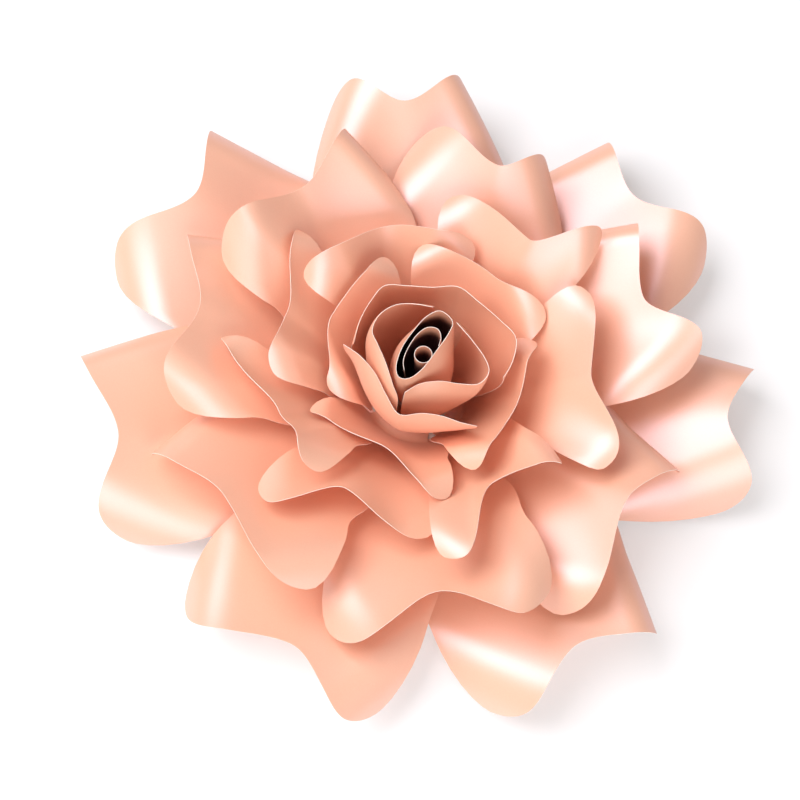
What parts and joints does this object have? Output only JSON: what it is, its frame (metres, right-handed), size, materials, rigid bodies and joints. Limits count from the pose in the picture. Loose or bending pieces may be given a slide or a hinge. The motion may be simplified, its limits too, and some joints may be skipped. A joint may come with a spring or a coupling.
{
  "type": "giant paper flower",
  "caption": "Giant paper rose of pearl peach card: rings of cupped petals with rolled-back corners round a tight rolled bud, flat board disc behind",
  "frame": {"origin": "middle of the underside of the backing disc, where the flower lies on a table or against a wall", "axes": "+Z runs from the disc out through the bud, the way the flower faces; +X is to the right and +Y to the top of the picture"},
  "size_m": [0.5037, 0.5007, 0.1201],
  "materials": {
    "pearl_card": "smooth pearl card with a soft shimmer, in peach",
    "board": "plain matt board"
  },
  "bodies": {
    "root": {"backing_disc": "board", "petal_1a": "pearl_card", "petal_1b": "pearl_card", "petal_1c": "pearl_card", "petal_1d": "pearl_card", "petal_1e": "pearl_card", "petal_1f": "pearl_card", "petal_1g": "pearl_card", "petal_2a": "pearl_card", "petal_2b": "pearl_card", "petal_2c": "pearl_card", "petal_2d": "pearl_card", "petal_2e": "pearl_card", "petal_2f": "pearl_card", "petal_2g": "pearl_card", "petal_3a": "pearl_card", "petal_3b": "pearl_card", "petal_3c": "pearl_card", "petal_3d": "pearl_card", "petal_3e": "pearl_card", "petal_3f": "pearl_card", "petal_3g": "pearl_card", "petal_4a": "pearl_card", "petal_4b": "pearl_card", "petal_4c": "pearl_card", "petal_4d": "pearl_card", "petal_5a": "pearl_card", "petal_5b": "pearl_card", "bud_wrap_left": "pearl_card", "bud_wrap_right": "pearl_card", "bud_cone": "pearl_card", "bud_roll": "pearl_card", "bud_tube": "pearl_card"}
  },
  "joints": []
}
